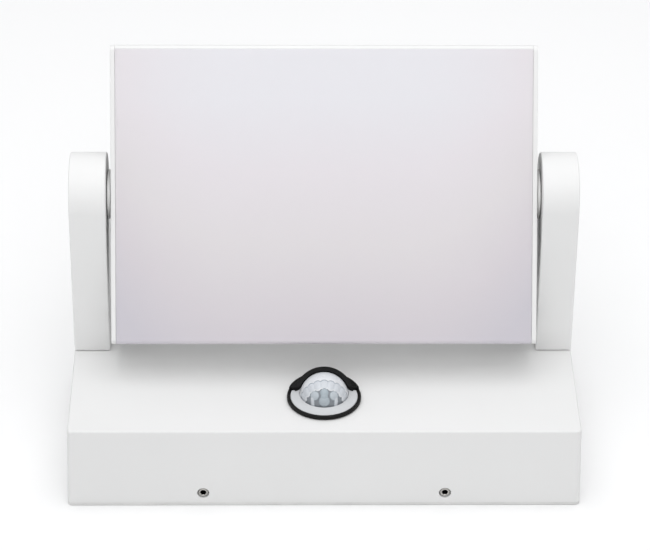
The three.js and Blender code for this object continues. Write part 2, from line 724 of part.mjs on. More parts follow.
function headGasket() {
  const [width, height, y] = [2 * (CAP_IN - 3.3), HEAD.height - 2 * TOP_LIP - 1, DIFFUSER_BACK + GAP];
  const ring = block([-width / 2, y, -height / 2], [width / 2, y + 0.9, height / 2]);
  const hole = block([3 - width / 2, y - 1, 3 - height / 2], [width / 2 - 3, y + 2, height / 2 - 3]);
  return cut(ring, hole);
}

function reflector() {
  const [x, z, wall] = [91, 56, 1.5];
  const ring = block([-x, -9.8, -z], [x, 4.2, z]);
  const hollow = block([wall - x, -12, wall - z], [x - wall, 6, z - wall]);
  const leadHole = barX(2.8, -x - 3, 3 - x, -0.4, -0.9);
  return cut(ring, hollow, leadHole);
}

function ledBoard() {
  const [x, z, back] = [92, 55.5, 6.2];
  const plate = block([-x, back - 1.6, -z], [x, back, z]);
  const [chip, columns, rows] = [1.8, 6, 4];
  const [across, up] = [30, 28];
  const chips = [];
  for (let i = 0; i < columns; i++) {
    for (let j = 0; j < rows; j++) {
      const cx = (i - (columns - 1) / 2) * across;
      const cz = (j - (rows - 1) / 2) * up;
      chips.push(block([cx - chip, back - 2.4, cz - chip], [cx + chip, back - 1.2, cz + chip]));
    }
  }
  return join(plate, ...chips);
}

// ---------------------------------------------------------------- assembly
add("base_housing", baseHousing(), whitePaint);
add("back_gasket", backGasket(), whiteRubber);
add("wall_bracket", wallBracket(), zinc);
add("cable_grommet", cableGrommet(), blackRubber);
const earthScrew = panScrew(-EARTH.x, EARTH.y, -4.3, -0.4, 2, 4, 2.2).rotateY(Math.PI);
add("earth_screw", earthScrew, brass);
add("led_driver", ledDriver(), whitePlastic);
DRIVER_EARS.forEach((x, i) => {
  const screw = panScrew(x, DRIVER.y, DRIVER.earZ - 2.5, DRIVER.earZ + 1.5, 1.6, 3, 2.2);
  add(`driver_screw_${i + 1}`, screw, steel);
});
add("terminal_block", terminalBlock(), whitePlastic);
add("sensor_bezel", sensorBezel(), blackPlastic);
add("sensor_flange", sensorFlange(), greyPlastic);
add("sensor_lens", sensorLens(), milkyLens);
const sleeveRing = (outer, low, high) =>
  turned(square(BEZEL.sleeve + GAP, outer, low, high), 0, SENSOR_Y);
add("sensor_gasket", sleeveRing(16.8, 38.2, CEILING - GAP), blackRubber);
add("sensor_retainer", sleeveRing(17, 35.9, 37.9), blackPlastic);
add("sensor_board", sensorBoard(), greenBoard);
add("pir_element", pirElement(), steel);
["range_dial", "time_dial", "lux_dial"].forEach((name, i) => add(name, dial(i - 1), blueDial));
add("arm_lead", armLead(), whiteRubber);

for (const [name, side] of Object.entries(SIDES)) {
  const onBase = (piece, geometry, material) => add(name + "_" + piece, geometry, material);
  const onHead = (piece, geometry, material) => add(name + "_" + piece, geometry, material, head);
  onBase("set_screw", setScrew(side), darkSteel);
  onBase("arm", arm(side), whitePaint);
  onBase("arm_cover", armCover(side), whitePaint);
  COVER_SCREWS.forEach((place, i) => onBase(`cover_screw_${i + 1}`, coverScrew(side, place), steel));
  armScrewRows().forEach((y, i) => {
    const screw = panScrew(side * ARM_MID, y, CEILING - 2.8, FACE + 7, 2.5, 4.2, 2.4);
    onBase(`arm_screw_${i + 1}`, screw, steel);
  });
  onBase("pivot_bush", pivotBush(side), blackPlastic);
  onBase("friction_washer", frictionWasher(side), whitePlastic);
  onHead("pivot_axle", axle(side), steel);
  onHead("spring_washer", springWasher(side), darkSteel);
  onHead("lock_nut", lockNut(side), zinc);
  onHead("pivot_seal", oRing(side), blackRubber);
  onHead("end_cap", endCap(side), whitePaint);
  [1, -1].forEach((way, i) => onHead(`cap_screw_${i + 1}`, endCapScrew(side, way), steel));
}

add("head_housing", headHousing(), whitePaint, head);
add("diffuser", diffuser(), opal, head);
add("head_gasket", headGasket(), whiteRubber, head);
add("reflector", reflector(), whitePlastic, head);
add("led_board", ledBoard(), whiteBoard, head);
add("head_lead", headLead(), whiteRubber, head);

export default root;
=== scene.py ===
import json
import math

import bmesh
import bpy
from mathutils import Matrix, Vector


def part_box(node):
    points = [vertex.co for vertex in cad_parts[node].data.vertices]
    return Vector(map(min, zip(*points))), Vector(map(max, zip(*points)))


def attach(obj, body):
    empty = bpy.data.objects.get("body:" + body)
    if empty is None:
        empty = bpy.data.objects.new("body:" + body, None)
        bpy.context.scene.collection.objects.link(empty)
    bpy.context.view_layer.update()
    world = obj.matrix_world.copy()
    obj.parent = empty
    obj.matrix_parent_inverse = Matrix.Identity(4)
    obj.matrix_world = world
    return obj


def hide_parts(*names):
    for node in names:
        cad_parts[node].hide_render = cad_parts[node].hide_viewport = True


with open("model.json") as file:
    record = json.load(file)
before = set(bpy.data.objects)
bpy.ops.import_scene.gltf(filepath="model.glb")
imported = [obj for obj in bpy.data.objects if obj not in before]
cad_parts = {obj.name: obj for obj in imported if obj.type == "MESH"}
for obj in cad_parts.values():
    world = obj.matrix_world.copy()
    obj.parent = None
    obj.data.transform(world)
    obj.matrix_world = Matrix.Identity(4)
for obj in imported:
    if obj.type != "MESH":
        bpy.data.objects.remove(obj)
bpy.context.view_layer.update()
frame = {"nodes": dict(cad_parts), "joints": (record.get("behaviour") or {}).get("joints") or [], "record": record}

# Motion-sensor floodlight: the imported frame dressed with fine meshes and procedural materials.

MM = 0.001
NODES = frame["nodes"]
SIDES = {"left": -1, "right": 1}

# ---------------------------------------------------------------- places read from the frame
TILT_JOINT = next(j for j in frame["joints"] if j["name"] == "head_tilt")
PIVOT = Vector(TILT_JOINT["pos_m"])
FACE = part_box("left_arm")[0].z - 0.3 * MM          # the sensor face
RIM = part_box("base_housing")[0].z                  # lower edge of the housing
ARM_LOW, ARM_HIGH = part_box("right_arm")
CAP_LOW, CAP_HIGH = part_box("right_end_cap")
WASHER_LOW, WASHER_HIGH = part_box("right_friction_washer")
LENS_LOW, LENS_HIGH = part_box("sensor_lens")
SENSOR = Vector(((LENS_LOW.x + LENS_HIGH.x) / 2, (LENS_LOW.y + LENS_HIGH.y) / 2, 0))
DOME = (LENS_HIGH.x - LENS_LOW.x) / 2              # radius of the lens dome
DOME_Z = LENS_HIGH.z - DOME
HEAD_TILT = math.radians(28.5)
HEAD_HEIGHT = 141 * MM
HEAD_THICK = 25 * MM
GAP = 0.3 * MM
SEAM = 0.06 * MM                                   # hairline between pieces that are screwed tight


# ---------------------------------------------------------------- camera
def make_camera():
    """Looks down on the lamp from the front and a little left, with a long lens."""
    elevation, azimuth, roll = math.radians(33.4), math.radians(-0.94), math.radians(0.5)
    distance = 1.438
    target = Vector((0.0005, 0.007, 0.090))
    back = Vector((
        math.sin(azimuth) * math.cos(elevation),
        -math.cos(azimuth) * math.cos(elevation),
        math.sin(elevation),
    ))
    right = (-back).cross(Vector((0, 0, 1))).normalized()
    up = right.cross(-back)
    turned_right = right * math.cos(roll) + up * math.sin(roll)
    turned_up = up * math.cos(roll) - right * math.sin(roll)
    data = bpy.data.cameras.new("camera")
    data.sensor_width = 36
    data.lens = 168.3
    data.clip_start, data.clip_end = 0.1, 20
    camera = bpy.data.objects.new("camera", data)
    axes = Matrix((turned_right, turned_up, back)).transposed().to_4x4()
    camera.matrix_world = Matrix.Translation(target + back * distance) @ axes
    bpy.context.scene.collection.objects.link(camera)
    bpy.context.scene.camera = camera


# ---------------------------------------------------------------- materials
class Paint:
    """A Principled material with helpers for the small procedural detail that each finish has."""

    def __init__(self, name, color, roughness, metallic=0.0, **inputs):
        self.material = bpy.data.materials.new(name)
        self.material.use_nodes = True
        self.tree = self.material.node_tree
        self.shader = self.tree.nodes["Principled BSDF"]
        self.color = color
        self.set("Base Color", (*color, 1))
        self.set("Roughness", roughness)
        self.set("Metallic", metallic)
        for key, value in inputs.items():
            self.set(key.replace("_", " "), value)
        self.place = self.node("ShaderNodeTexCoord").outputs["Object"]
        self.height = None

    def set(self, socket, value):
        self.shader.inputs[socket].default_value = value

    def node(self, kind, **settings):
        made = self.tree.nodes.new(kind)
        for key, value in settings.items():
            if key in made.inputs:
                made.inputs[key].default_value = value
            else:
                setattr(made, key, value)
        return made

    def link(self, output, socket):
        self.tree.links.new(output, socket)

    def noise(self, scale, detail=3.0, stretch=None):
        made = self.node("ShaderNodeTexNoise", Scale=scale, Detail=detail)
        place = self.place
        if stretch:
            mapping = self.node("ShaderNodeMapping", Scale=stretch)
            self.link(place, mapping.inputs["Vector"])
            place = mapping.outputs["Vector"]
        self.link(place, made.inputs["Vector"])
        return made.outputs["Fac"]

    def ramp(self, value, stops):
        made = self.node("ShaderNodeValToRGB")
        while len(made.color_ramp.elements) < len(stops):
            made.color_ramp.elements.new(0.5)
        for element, (position, color) in zip(made.color_ramp.elements, stops):
            element.position = position
            element.color = (*color, 1)
        self.link(value, made.inputs["Fac"])
        return made.outputs["Color"]

    def range(self, value, low, high, start=0.3, end=0.7):
        made = self.node("ShaderNodeMapRange")
        made.inputs["From Min"].default_value = start
        made.inputs["From Max"].default_value = end
        made.inputs["To Min"].default_value = low
        made.inputs["To Max"].default_value = high
        self.link(value, made.inputs["Value"])
        return made.outputs["Result"]

    def mottle(self, scale, amount):
        """Makes the colour a little lighter and darker over the surface."""
        dark = tuple(c * (1 - amount) for c in self.color)
        light = tuple(min(1, c * (1 + amount)) for c in self.color)
        stops = [(0.35, dark), (0.65, light)]
        self.link(self.ramp(self.noise(scale), stops), self.shader.inputs["Base Color"])
        return self

    def polish(self, scale, low, high, stretch=None):
        """Lets the roughness wander between two values."""
        rough = self.range(self.noise(scale, 4, stretch), low, high)
        self.link(rough, self.shader.inputs["Roughness"])
        return self

    def grain(self, scale, distance, strength=1.0, stretch=None, detail=2.0):
        """Adds a layer of fine relief; layers stack."""
        bump = self.node("ShaderNodeBump", Strength=strength, Distance=distance)
        self.link(self.noise(scale, detail, stretch), bump.inputs["Height"])
        if self.height:
            self.link(self.height, bump.inputs["Normal"])
        self.height = bump.outputs["Normal"]
        self.link(self.height, self.shader.inputs["Normal"])
        return self


def powder_coat(name, tone):
    """White polyester powder on a casting: faint orange peel, a little speckle in the gloss."""
    paint = Paint(name, (tone, tone, 0.994 * tone), 0.5, Specular_IOR_Level=0.3)
    paint.mottle(14, 0.008).polish(120, 0.42, 0.56)
    return paint.grain(1400, 0.00003, 0.5).grain(350, 0.00005, 0.35).material


def moulded(name, color, roughness, grain=2600, depth=0.00002, mottle=0.015, shine=0.45):
    """Injection-moulded plastic with a spark-eroded texture."""
    paint = Paint(name, color, roughness, Specular_IOR_Level=shine)
    paint.mottle(40, mottle).polish(300, roughness * 0.88, roughness * 1.12)
    return paint.grain(grain, depth, 0.6).material


def opal_acrylic():
    """The milky light cover: glossy skin over a body that scatters, with painted shade that darkens it towards its
    foot and its two ends.
    """
    paint = Paint(
        "opal_acrylic", (0.74, 0.715, 0.75), 0.32,
        Subsurface_Weight=0.25, Subsurface_Scale=0.004, Coat_Weight=0.12, Coat_Roughness=0.2,
    )
    paint.set("Subsurface Radius", (1.0, 0.9, 0.95))
    split = paint.node("ShaderNodeSeparateXYZ")
    paint.link(paint.place, split.inputs["Vector"])
    across = paint.node("ShaderNodeMath", operation="ABSOLUTE")
    paint.link(split.outputs["X"], across.inputs[0])
    # Painted shade: the colour darkens from the middle towards both ends, and from the crest down to the foot.
    side_start, side_end = 0.040, 0.0985
    foot, crest = 0.062, 0.165
    side_curve, side_shade_share, foot_shade_share = 1.9, 0.30, 0.85
    edge = paint.range(across.outputs["Value"], 0.0, 1.0, side_start, side_end)
    low = paint.range(split.outputs["Z"], 1.0, 0.0, foot, crest)
    curve = paint.node("ShaderNodeMath", operation="POWER")
    curve.inputs[1].default_value = side_curve
    paint.link(edge, curve.inputs[0])
    share = paint.node("ShaderNodeMath", operation="MULTIPLY")
    share.inputs[1].default_value = side_shade_share
    paint.link(curve.outputs["Value"], share.inputs[0])
    total = paint.node("ShaderNodeMath", operation="MULTIPLY_ADD")
    paint.link(low, total.inputs[0])
    total.inputs[1].default_value = foot_shade_share
    paint.link(share.outputs["Value"], total.inputs[2])
    # From the lightest colour in the middle to the darkest, painted shade, at the foot and ends.
    stops = [
        (0.0, (0.80, 0.79, 0.83)),
        (0.25, (0.79, 0.75, 0.785)),
        (0.5, (0.75, 0.715, 0.735)),
        (0.75, (0.69, 0.65, 0.685)),
        (1.0, (0.62, 0.595, 0.645)),
    ]
    paint.link(paint.ramp(total.outputs["Value"], stops), paint.shader.inputs["Base Color"])
    return paint.polish(60, 0.28, 0.36).grain(220, 0.00002, 0.25).material


def lens_plastic():
    """Thin translucent polyethylene. The tone attribute paints light and shade into its colour: 0 lightest, for
    painted highlights, and 1 darkest, for painted shade in the thin grooves between facets.
    """
    paint = Paint(
        "lens_plastic", (0.8, 0.83, 0.86), 0.3,
        Coat_Weight=0.25, Coat_Roughness=0.15, IOR=1.45,
    )
    tone = paint.node("ShaderNodeAttribute", attribute_name="tone")
    # From the painted highlights (0) to the painted shade in the grooves (1).
    stops = [
        (0.0, (0.76, 0.77, 0.79)),
        (0.30, (0.60, 0.63, 0.67)),
        (0.60, (0.37, 0.43, 0.47)),
        (1.0, (0.21, 0.22, 0.24)),
    ]
    paint.link(paint.ramp(tone.outputs["Fac"], stops), paint.shader.inputs["Base Color"])
    return paint.polish(500, 0.24, 0.36).grain(900, 0.00001, 0.2).material


def metal(name, color, roughness, stretch=(1, 1, 1)):
    """Turned or rolled metal with fine marks from its making."""
    paint = Paint(name, color, roughness, 1.0)
    paint.mottle(60, 0.05).polish(500, roughness * 0.75, roughness * 1.3, stretch)
    return paint.grain(2400, 0.00001, 0.5, stretch).material


def rubber(name, color):
    paint = Paint(name, color, 0.75, Specular_IOR_Level=0.3)
    paint.mottle(60, 0.04).polish(400, 0.66, 0.85)
    return paint.grain(1800, 0.00003, 0.6).material


def circuit_board():
    """Green solder mask with darker copper lands showing through."""
    paint = Paint("circuit_board", (0.02, 0.16, 0.06), 0.35, Coat_Weight=0.3)
    cells = paint.node("ShaderNodeTexVoronoi", Scale=320.0, distance="MANHATTAN")
    paint.link(paint.place, cells.inputs["Vector"])
    stops = [(0.30, (0.012, 0.10, 0.04)), (0.36, (0.025, 0.19, 0.075))]
    paint.link(paint.ramp(cells.outputs["Distance"], stops), paint.shader.inputs["Base Color"])
    return paint.grain(900, 0.00003, 0.5).material


POWDER = powder_coat("powder_coat", 0.845)
# A darker copy of the arms' powder coat, painted shade; the housing and every white casting node of the frame wear
# it.
SHADED_HOUSING_POWDER = powder_coat("housing_powder_coat_shaded", 0.815)
OPAL = opal_acrylic()
LENS = lens_plastic()
FLANGE = moulded("flange_plastic", (0.60, 0.615, 0.63), 0.42, 1600, 0.00002)
BLACK = moulded("black_plastic", (0.004, 0.004, 0.004), 0.5, 1500, 0.00004, 0.3, 0.2)
WHITE_PLASTIC = moulded("white_plastic", (0.78, 0.78, 0.77), 0.45)
BLUE_PLASTIC = moulded("blue_plastic", (0.05, 0.16, 0.40), 0.45)
STEEL = metal("plated_steel", (0.60, 0.61, 0.62), 0.3, (1, 1, 14))
DARK_STEEL = metal("blackened_steel", (0.46, 0.45, 0.43), 0.34)
ZINC = metal("zinc_plate", (0.66, 0.68, 0.69), 0.38, (1, 6, 1))
BRASS = metal("brass", (0.70, 0.52, 0.24), 0.3)
BLACK_RUBBER = rubber("black_rubber", (0.02, 0.02, 0.02))
WHITE_RUBBER = rubber("white_rubber", (0.74, 0.74, 0.73))
BOARD = circuit_board()
SLOT_MATERIALS = {
    # the darker copy of the powder coat, painted shade
    "white_casting": SHADED_HOUSING_POWDER,
    "white_plastic": WHITE_PLASTIC,
    "opal": OPAL,
    "black_plastic": BLACK,
    "lens": LENS,
    "grey_plastic": FLANGE,
    "black_rubber": BLACK_RUBBER,
    "white_rubber": WHITE_RUBBER,
    "steel": STEEL,
    "dark_steel": DARK_STEEL,
    "zinc_steel": ZINC,
    "brass": BRASS,
    "green_board": BOARD,
    "white_board": WHITE_PLASTIC,
    "blue_dial": BLUE_PLASTIC,
}
SLOT_OF = {s["node"]: s["material_slot"] for s in frame["record"]["subparts"]}


def dress_frame():
    """Gives every CAD node the material of its slot."""
    for name, node in NODES.items():
        node.data.materials.clear()
        node.data.materials.append(SLOT_MATERIALS[SLOT_OF[name]])


# ---------------------------------------------------------------- mesh tools
def piece(name, bm):
    """A new object from a bmesh, with its faces turned outwards."""
    bmesh.ops.remove_doubles(bm, verts=bm.verts, dist=1e-7)
    bmesh.ops.recalc_face_normals(bm, faces=bm.faces)
    mesh = bpy.data.meshes.new(name)
    bm.to_mesh(mesh)
    bm.free()
    made = bpy.data.objects.new(name, mesh)
    bpy.context.scene.collection.objects.link(made)
    return made


def loft(name, rings, close_rows=False):
    """A skin through rings of points; the ends are capped, or joined when close_rows is set."""
    bm = bmesh.new()
    rows = [[bm.verts.new(p) for p in ring] for ring in rings]
    count = len(rings[0])
    pairs = list(zip(rows, rows[1:])) + ([(rows[-1], rows[0])] if close_rows else [])
    for low, high in pairs:
        for i in range(count):
            j = (i + 1) % count
            bm.faces.new((low[i], low[j], high[j], high[i]))
    if not close_rows:
        bm.faces.new(rows[0])
        bm.faces.new(rows[-1])
    return piece(name, bm)


def prism_x(name, outline, x0, x1):
    """An outline of (y, z) points run along X."""
    return loft(name, [[(x, y, z) for y, z in outline] for x in (x0, x1)])


def prism_z(name, outline, z0, z1, grow=0.0):
    """An outline of (x, y) points run up Z, larger by grow at its lower end."""
    low = [(x + math.copysign(grow, x), y + math.copysign(grow, y), z0) for x, y in outline]
    return loft(name, [low, [(x, y, z1) for x, y in outline]])


def turned(name, section, centre, axis="Z", sides=96):
    """A closed section of (radius, height) points turned about an axis through centre."""
    rings = []
    for i in range(sides):
        a = 2 * math.pi * i / sides
        c, s = math.cos(a), math.sin(a)
        if axis == "Z":
            rings.append([Vector((r * c, r * s, h)) + centre for r, h in section])
        elif axis == "Y":
            rings.append([Vector((r * c, h, r * s)) + centre for r, h in section])
        else:
            rings.append([Vector((h, r * c, r * s)) + centre for r, h in section])
    return loft(name, rings, close_rows=True)


def rod(name, radius, start, end, sides=48):
    """A round bar between two points, to cut with or to join on."""
    start, end = Vector(start), Vector(end)
    turn = (end - start).to_track_quat("Z", "Y").to_matrix()
    ring = [
        turn @ Vector((radius * math.cos(2 * math.pi * i / sides),
                       radius * math.sin(2 * math.pi * i / sides), 0))
        for i in range(sides)
    ]
    return loft(name, [[p + start for p in ring], [p + end for p in ring]])


def slab_box(name, low, high):
    outline = [(low[0], low[1]), (high[0], low[1]), (high[0], high[1]), (low[0], high[1])]
    return loft(name, [[(x, y, z) for x, y in outline] for z in (low[2], high[2])])


def arc(centre, radius, start, end, steps):
    """Points of an arc, angles in degrees."""
    angles = [math.radians(start + (end - start) * i / steps) for i in range(steps + 1)]
    return [(centre[0] + radius * math.cos(a), centre[1] + radius * math.sin(a)) for a in angles]


def rounded_box(width, height, radius, steps=8):
    x, y = width / 2 - radius, height / 2 - radius
    corners = [((x, -y), -90), ((x, y), 0), ((-x, y), 90), ((-x, -y), 180)]
    return [p for centre, a in corners for p in arc(centre, radius, a, a + 90, steps)]


def baked(obj):
    """Applies the object's modifiers to its mesh."""
    graph = bpy.context.evaluated_depsgraph_get()
    mesh = bpy.data.meshes.new_from_object(obj.evaluated_get(graph))
    obj.modifiers.clear()
    old, obj.data = obj.data, mesh
    bpy.data.meshes.remove(old)
    return obj


def combine(obj, others, operation="DIFFERENCE"):
    for other in others:
        step = obj.modifiers.new(operation.lower(), "BOOLEAN")
        step.operation = operation
        step.solver = "EXACT"
        step.object = other
        baked(obj)
        bpy.data.objects.remove(other)
    return obj


def rounded_over(obj, width, segments=3, angle=50):
    """Rounds the edges sharper than angle."""
    step = obj.modifiers.new("round", "BEVEL")
    step.width = width
    step.segments = segments
    step.limit_method = "ANGLE"
    step.angle_limit = math.radians(angle)
    step.use_clamp_overlap = True
    step.miter_outer = "MITER_ARC"
    return baked(obj)


def finished(obj, material, body, replaced=(), sharp=32):
    """Shades the piece, gives it its material and lets it ride on its body."""
    obj.data.materials.clear()
    obj.data.materials.append(material)
    obj.data.shade_smooth()
    obj.data.set_sharp_from_angle(angle=math.radians(sharp))
    step = obj.modifiers.new("normals", "WEIGHTED_NORMAL")
    step.keep_sharp = True
    step.weight = 60
    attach(obj, body)
    if replaced:
        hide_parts(*replaced)
    return obj


# ---------------------------------------------------------------- base
BASE_WIDTH, BASE_DEPTH, FLARE, WALL = 240 * MM, 106 * MM, 0.97 * MM, 2.5 * MM
FRONT = -BASE_DEPTH / 2
ARM_MID = (ARM_LOW.x + ARM_HIGH.x) / 2
SET_X, SET_Z = 57 * MM, 7 * MM                      # grub screws
SOCKET, SOCKET_DEPTH = 1.5 * MM, 3.2 * MM
FOOT_HOLE, FOOT_REACH = 2.8 * MM, 13 * MM          # screw holes under each arm
BOARD_X, BOARD_Y = 27 * MM, 12 * MM                # posts of the sensor board, from the sensor
DRIVER_POSTS = [(4 * MM, 19 * MM), (104 * MM, 19 * MM)]
PAST = 5 * MM                                      # how far a cutter runs past what it cuts


def build_housing():
    spare = 2 * MM                       # this height is cut off, so the lower edge stays crisp
    outline = rounded_box(BASE_WIDTH, BASE_DEPTH, 2 * MM)
    shell = prism_z("housing", outline, RIM - spare, FACE, FLARE * (1 + spare / (FACE - RIM)))
    rounded_over(shell, 0.9 * MM, 4, 60)
    below = slab_box("below", (-0.2, -0.2, RIM - 0.01), (0.2, 0.2, RIM))
    inside = rounded_box(BASE_WIDTH - 2 * WALL, BASE_DEPTH - 2 * WALL, 1 * MM, 4)
    cavity = prism_z("cavity", inside, RIM - PAST, FACE - WALL, FLARE * 1.1)
    combine(shell, [below, cavity])
    ribs = [slab_box("rib", (-0.070, 0.047, 0.0096), (0.070, 0.0515, 0.0116))]
    for side in (-1, 1):
        x, z = side * SET_X, SET_Z + 0.6 * MM
        ribs.append(rod("boss", 5 * MM, (x, FRONT + 1 * MM, z), (x, FRONT + 8 * MM, z)))
        for y in (-BOARD_Y, BOARD_Y):
            at = (side * BOARD_X, SENSOR.y + y)
            ribs.append(rod("post", 2.6 * MM, (*at, 33.4 * MM), (*at, FACE - 1 * MM), 24))
    for at in DRIVER_POSTS:
        ribs.append(rod("post", 3 * MM, (*at, 35.3 * MM), (*at, FACE - 1 * MM), 24))
    combine(shell, ribs, "UNION")
    holes = [rod("hole", 13.4 * MM, (*SENSOR.xy, FACE - PAST), (*SENSOR.xy, FACE + PAST), 96)]
    for side in (-1, 1):
        x = side * SET_X
        holes.append(rod("hole", 2.85 * MM, (x, FRONT - PAST, SET_Z), (x, FRONT + 12 * MM, SET_Z)))
        for y in (-FOOT_REACH, FOOT_REACH):
            at = (side * ARM_MID, PIVOT.y + y)
            holes.append(rod("hole", FOOT_HOLE, (*at, FACE - PAST), (*at, FACE + PAST), 24))
    combine(shell, holes)
    rounded_over(shell, 0.2 * MM, 2, 62)
    # The housing takes the darker copy of the powder coat, painted shade.
    finished(shell, SHADED_HOUSING_POWDER, "base", ["base_housing"])


def build_gasket():
    """White foam strip between the housing's rim and the wall."""
    outer = rounded_box(BASE_WIDTH + 2 * FLARE, BASE_DEPTH + 2 * FLARE, 2 * MM)
    inner = rounded_box(235.8 * MM, 101.8 * MM, 1 * MM, 8)
    strip = prism_z("rim_strip", outer, 0, RIM - SEAM)
    combine(strip, [prism_z("hole", inner, -1 * MM, RIM + 1 * MM)])
    rounded_over(strip, 0.1 * MM, 2, 60)
    finished(strip, WHITE_RUBBER, "base", ["back_gasket"])


def build_set_screws():
    for name, side in SIDES.items():
        low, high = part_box(name + "_set_screw")
        x, outer = side * SET_X, low.y
        length, radius = high.y - low.y, 2.5 * MM
        section = [(0.2 * MM, 0), (radius - 0.4 * MM, 0), (radius, 0.5 * MM),
                   (radius, length - 0.8 * MM), (radius - 0.8 * MM, length), (0.2 * MM, length)]
        screw = turned(name + "_grub_screw", section, Vector((x, outer, SET_Z)), "Y", 48)
        bore = rod("fill", 0.3 * MM, (x, outer + 2.5 * MM, SET_Z), (x, outer + length, SET_Z), 12)
        combine(screw, [bore], "UNION")
        socket = rod("socket", SOCKET, (x, outer - 1 * MM, SET_Z), (x, outer + SOCKET_DEPTH, SET_Z), 6)
        mouth_section = [(0.1 * MM, -0.4 * MM), (1.85 * MM, -0.4 * MM), (1.2 * MM, 0.35 * MM),
                         (0.1 * MM, 0.35 * MM)]
        mouth = turned("mouth", mouth_section, Vector((x, outer, SET_Z)), "Y", 32)
        combine(screw, [socket, mouth])
        rounded_over(screw, 0.08 * MM, 2, 40)
        finished(screw, DARK_STEEL, "base", [name + "_set_screw"])
        # Black painted shade lines the socket, standing for its depth.
        screw.data.materials.append(BLACK)            # the inside of the socket
        for face in screw.data.polygons:
            off_axis = math.hypot(face.center.x - x, face.center.z - SET_Z)
            if off_axis < SOCKET and 0.15 * MM < face.center.y - outer < SOCKET_DEPTH + GAP:
                face.material_index = 1


# ---------------------------------------------------------------- arms
def arm_outline(inset, foot, steps=64):
    radius = (ARM_HIGH.y - ARM_LOW.y) / 2 - inset
    top = arc((PIVOT.y, PIVOT.z), radius, 0, 180, steps)
    return [(PIVOT.y - radius, foot), (PIVOT.y + radius, foot)] + top


COVER_SCREWS = [(-10 * MM, FACE + 20 * MM), (10 * MM, FACE + 50 * MM)]
REBATE = 2.9 * MM                                  # depth of the seat for the cover plate
NEAR, FAR = 90 * MM, 130 * MM                      # a cutter between these runs through any plate


def build_arms():
    inner, outer = ARM_LOW.x, ARM_HIGH.x
    foot = FACE + GAP
    for name, side in SIDES.items():
        body = prism_x(name + "_arm_casting", arm_outline(0, foot), side * inner, side * outer)
        rounded_over(body, 0.7 * MM, 4, 50)
        pocket = prism_x("pocket", arm_outline(2.8 * MM, foot + 9 * MM, 40),
                         side * (inner - 1 * MM), side * (outer - 2.2 * MM))
        rebate = prism_x("rebate", arm_outline(1.2 * MM, foot + 4 * MM),
                         side * (inner - 1 * MM), side * (inner + REBATE))
        combine(body, [pocket, rebate])
        pillars = [
            rod("pillar", 3.4 * MM, (side * (inner + REBATE), PIVOT.y + y, z),
                (side * (outer - 1 * MM), PIVOT.y + y, z), 24)
            for y, z in COVER_SCREWS
        ]
        combine(body, pillars, "UNION")
        holes = [
            rod("hole", 1.8 * MM, (side * (inner + 1 * MM), PIVOT.y + y, z),
                (side * (outer - 5 * MM), PIVOT.y + y, z), 20)
            for y, z in COVER_SCREWS
        ]
        for y in (-FOOT_REACH, FOOT_REACH):
            at = (side * ARM_MID, PIVOT.y + y)
            holes.append(rod("hole", FOOT_HOLE, (*at, foot - 1 * MM), (*at, foot + 7.5 * MM), 20))
        if side < 0:
            at = (side * ARM_MID, PIVOT.y)
            holes.append(rod("hole", 2.4 * MM, (*at, foot - 1 * MM), (*at, foot + 10 * MM), 20))
        combine(body, holes)
        rounded_over(body, 0.18 * MM, 2, 62)
        finished(body, POWDER, "base", [name + "_arm"])


def build_covers():
    inner = ARM_LOW.x
    for name, side in SIDES.items():
        outline = arm_outline(1.5 * MM, FACE + 4.6 * MM)
        plate = prism_x(name + "_cover_plate", outline, side * inner, side * (inner + 2.6 * MM))
        near, far = side * NEAR, side * FAR
        cutters = [rod("bore", 8.2 * MM, (near, PIVOT.y, PIVOT.z), (far, PIVOT.y, PIVOT.z), 64)]
        for y, z in COVER_SCREWS:
            at = (PIVOT.y + y, z)
            cutters.append(rod("hole", 1.9 * MM, (near, *at), (far, *at), 24))
            cutters.append(rod("sink", 3.3 * MM, (side * (inner - 1 * MM), *at),
                               (side * (inner + 1.6 * MM), *at), 40))
        combine(plate, cutters)
        rounded_over(plate, 0.3 * MM, 3, 50)
        finished(plate, POWDER, "base", [name + "_arm_cover"])
        for i, (y, z) in enumerate(COVER_SCREWS, 1):
            build_cross_screw(
                f"{name}_cover_cross_screw_{i}", Vector((side * (inner + 0.2 * MM), PIVOT.y + y, z)),
                side, 9.8 * MM, "base", f"{name}_cover_screw_{i}", 1.1 * MM)


def build_cross_screw(name, top, side, length, body, node, head=1.1 * MM, spin=0.0, matrix=None):
    """A small countersunk-style screw along X with a cross recess; side points into the material."""
    rim, shank, core = 2.9 * MM, 1.5 * MM, 0.15 * MM
    section = [(core, 0), (2.6 * MM, 0), (rim, 0.25 * MM), (rim, head),
               (shank, head), (shank, length), (core, length)]
    screw = turned(name, [(r, side * h) for r, h in section], top, "X", 40)
    plug = rod("plug", 0.3 * MM, top + Vector((side * 0.6 * MM, 0, 0)),
               top + Vector((side * length, 0, 0)), 12)
    combine(screw, [plug], "UNION")
    for turn in (0, math.pi / 2):
        a = turn + spin + 0.4
        reach = Vector((0, math.cos(a), math.sin(a))) * 1.7 * MM
        width = Vector((0, -math.sin(a), math.cos(a))) * 0.32 * MM
        deep = Vector((side * 0.7 * MM, 0, 0))
        lift = Vector((-side * 0.5 * MM, 0, 0))
        corners = [reach + width, width - reach, -reach - width, reach - width]
        mouth = [top + c + lift for c in corners]
        bottom = [top + c * 0.55 + deep for c in corners]
        combine(screw, [loft("recess", [mouth, bottom])])
    if matrix:
        screw.data.transform(matrix)
    finished(screw, STEEL, body, [node])


